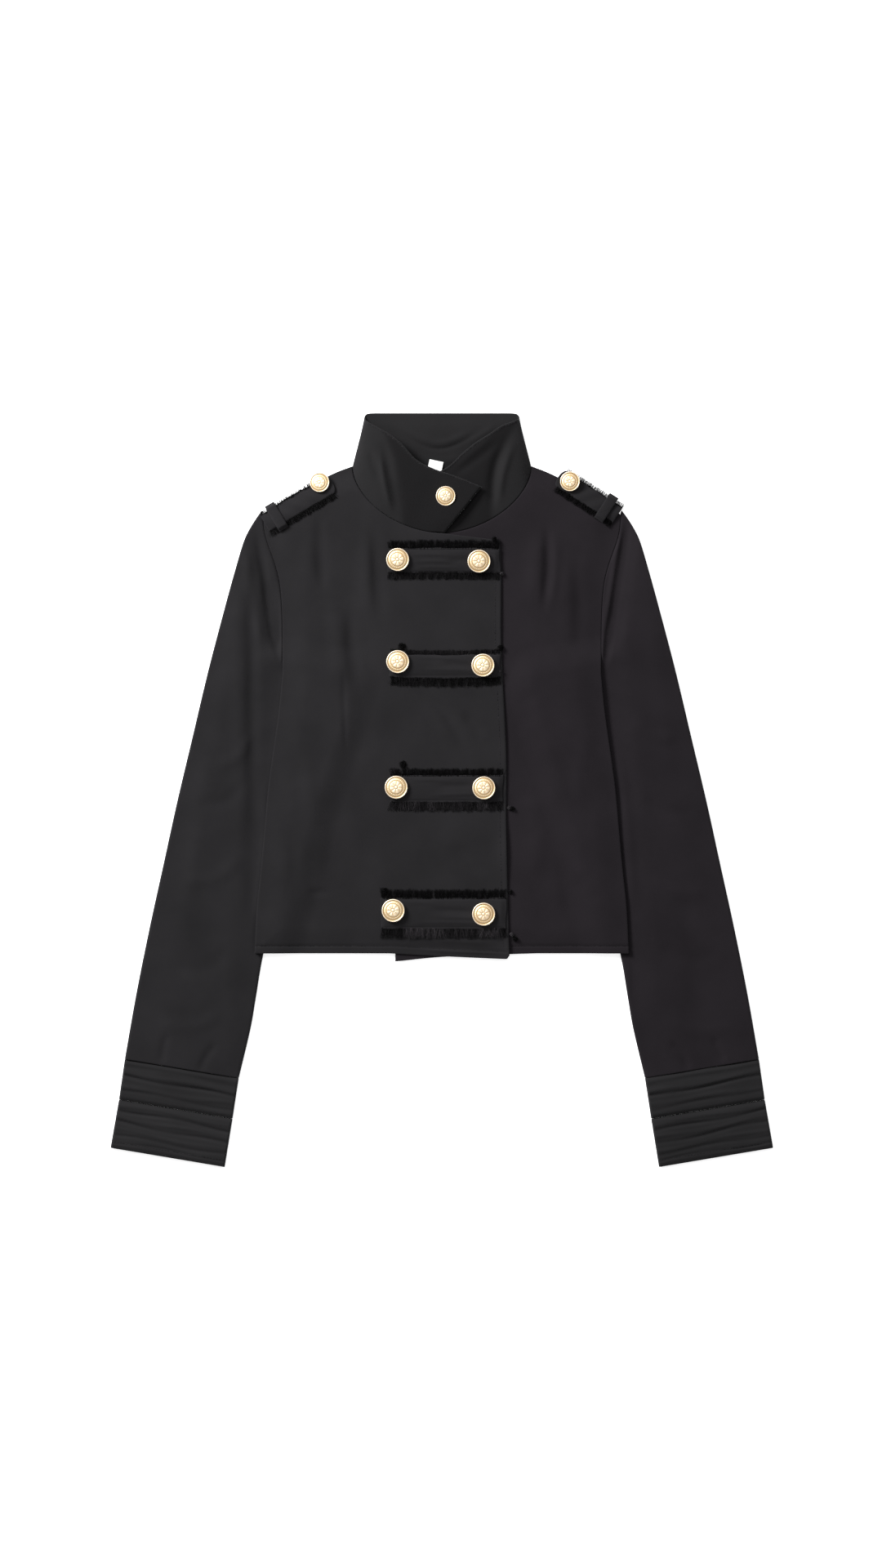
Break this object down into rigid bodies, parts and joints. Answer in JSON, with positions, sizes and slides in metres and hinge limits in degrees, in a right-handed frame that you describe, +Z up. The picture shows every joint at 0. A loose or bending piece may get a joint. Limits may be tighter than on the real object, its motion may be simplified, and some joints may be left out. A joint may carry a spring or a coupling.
{
  "type": "military style jacket",
  "caption": "Short dark jacket laid flat, front up, with a lapped stand collar, straps with frayed edges held by gold buttons, and shoulder straps.",
  "frame": {"origin": "centre of the bounding box, on the surface that the jacket lies on", "axes": "+Z up from the surface, +Y from the cuffs towards the collar, +X towards the wearer's left"},
  "size_m": [0.6334, 0.7207, 0.0152],
  "materials": {
    "jacket_cloth": "matte black woven cloth with a soft nap",
    "fringe_thread": "frayed matte black threads",
    "gold_metal": "bright pale gold with a raised ornament",
    "label_cloth": "plain white woven tape"
  },
  "bodies": {
    "root": {"back": "jacket_cloth", "front_right": "jacket_cloth", "front_left": "jacket_cloth", "sleeve_right": "jacket_cloth", "cuff_upper_right": "jacket_cloth", "cuff_lower_right": "jacket_cloth", "sleeve_left": "jacket_cloth", "cuff_upper_left": "jacket_cloth", "cuff_lower_left": "jacket_cloth", "collar": "jacket_cloth", "neck_label": "label_cloth", "tab_1": "jacket_cloth", "tab_1_fringe_upper": "fringe_thread", "tab_1_fringe_lower": "fringe_thread", "button_1_right": "gold_metal", "button_1_left": "gold_metal", "tab_2": "jacket_cloth", "tab_2_fringe_upper": "fringe_thread", "tab_2_fringe_lower": "fringe_thread", "button_2_right": "gold_metal", "button_2_left": "gold_metal", "tab_3": "jacket_cloth", "tab_3_fringe_upper": "fringe_thread", "tab_3_fringe_lower": "fringe_thread", "button_3_right": "gold_metal", "button_3_left": "gold_metal", "tab_4": "jacket_cloth", "tab_4_fringe_upper": "fringe_thread", "tab_4_fringe_lower": "fringe_thread", "button_4_right": "gold_metal", "button_4_left": "gold_metal", "epaulette_right": "jacket_cloth", "epaulette_right_fringe_upper": "fringe_thread", "epaulette_right_fringe_lower": "fringe_thread", "epaulette_right_loop": "jacket_cloth", "button_epaulette_right": "gold_metal", "epaulette_left": "jacket_cloth", "epaulette_left_fringe_upper": "fringe_thread", "epaulette_left_fringe_lower": "fringe_thread", "epaulette_left_loop": "jacket_cloth", "button_epaulette_left": "gold_metal", "button_collar": "gold_metal"}
  },
  "joints": []
}
